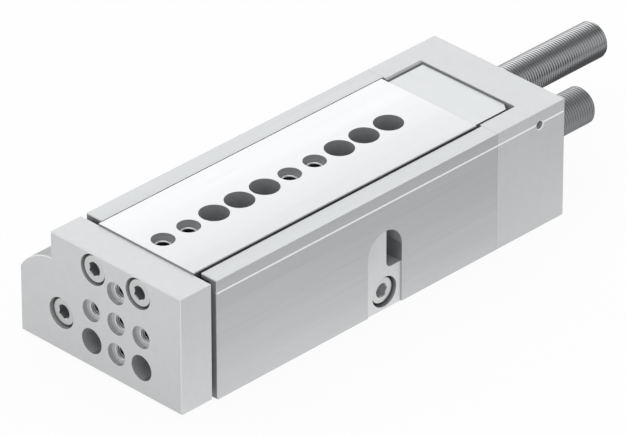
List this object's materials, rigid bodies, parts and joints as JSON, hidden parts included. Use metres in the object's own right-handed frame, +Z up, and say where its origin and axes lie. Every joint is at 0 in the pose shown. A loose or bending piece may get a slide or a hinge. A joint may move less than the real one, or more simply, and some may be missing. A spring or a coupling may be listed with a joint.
{
  "type": "pneumatic mini slide",
  "caption": "Compact air-driven linear slide: a ball-guided carriage in a side-cylinder housing, with a front yoke plate and threaded stop sleeves at the back.",
  "frame": {"origin": "on the base face, midway between its six fixing holes, on the line of holes", "axes": "+Z up out of the slide, -Y towards the yoke plate and along the slide's forward travel, +X to the flat side with the recess"},
  "size_m": [0.0647, 0.2052, 0.0393],
  "materials": {
    "anodised_aluminium": "satin, clear anodised, brushed along the travel",
    "yoke_aluminium": "fine blasted, clear anodised",
    "ground_steel": "ground bright",
    "block_aluminium": "satin",
    "rail_steel": "hardened and ground",
    "stop_steel": "milled",
    "zinc_steel": "zinc plated",
    "spring_steel": "phosphated",
    "hard_chrome": "polished",
    "piston_aluminium": "turned",
    "seal_rubber": "moulded",
    "buffer_rubber": "cast polyurethane",
    "magnet": "plastic bonded magnet",
    "bearing_bronze": "sintered",
    "cage_plastic": "moulded",
    "ball_steel": "polished",
    "dark_steel": "threaded, gunmetal"
  },
  "bodies": {
    "base": {"housing": "anodised_aluminium", "end_cap": "anodised_aluminium", "end_cap_screws": "zinc_steel", "joint_rings": "seal_rubber", "guide_rail_left": "rail_steel", "guide_rail_right": "rail_steel", "fixed_stop": "stop_steel", "fixed_stop_screw": "zinc_steel", "rod_bearing": "bearing_bronze", "rod_bearing_ring": "seal_rubber", "rod_seal": "seal_rubber", "circlip": "spring_steel", "passage_plug": "zinc_steel"},
    "carriage": {"slide": "ground_steel", "yoke_plate": "yoke_aluminium", "yoke_screws": "zinc_steel", "rod_screw": "zinc_steel", "piston_rod": "hard_chrome", "piston": "piston_aluminium", "piston_seals": "seal_rubber", "piston_magnet": "magnet", "piston_nut": "zinc_steel", "slide_end_block": "block_aluminium", "end_block_screws": "zinc_steel"},
    "cage_left": {"ball_cage_left": "cage_plastic", "guide_balls_left": "ball_steel"},
    "cage_right": {"ball_cage_right": "cage_plastic", "guide_balls_right": "ball_steel"},
    "retract_stop": {"retract_stop_sleeve": "dark_steel", "retract_buffer": "buffer_rubber"},
    "advance_stop": {"advance_stop_sleeve": "dark_steel", "advance_buffer": "buffer_rubber"}
  },
  "joints": [
    {"name": "slide_travel", "type": "slide", "parent": "base", "child": "carriage", "axis": [0, -1, 0], "range_m": [0, 0.05]},
    {"name": "cage_left_travel", "type": "slide", "parent": "base", "child": "cage_left", "axis": [0, -1, 0], "range_m": [0, 0.025]},
    {"name": "cage_right_travel", "type": "slide", "parent": "base", "child": "cage_right", "axis": [0, -1, 0], "range_m": [0, 0.025]},
    {"name": "retract_stop_adjust", "type": "slide", "parent": "base", "child": "retract_stop", "axis": [0, 1, 0], "range_m": [0, 0.008]},
    {"name": "advance_stop_adjust", "type": "slide", "parent": "carriage", "child": "advance_stop", "axis": [0, 1, 0], "range_m": [0, 0.008]}
  ],
  "couplings": [
    {"joint": "cage_left_travel", "follows": "slide_travel", "ratio": 0.5},
    {"joint": "cage_right_travel", "follows": "slide_travel", "ratio": 0.5}
  ]
}
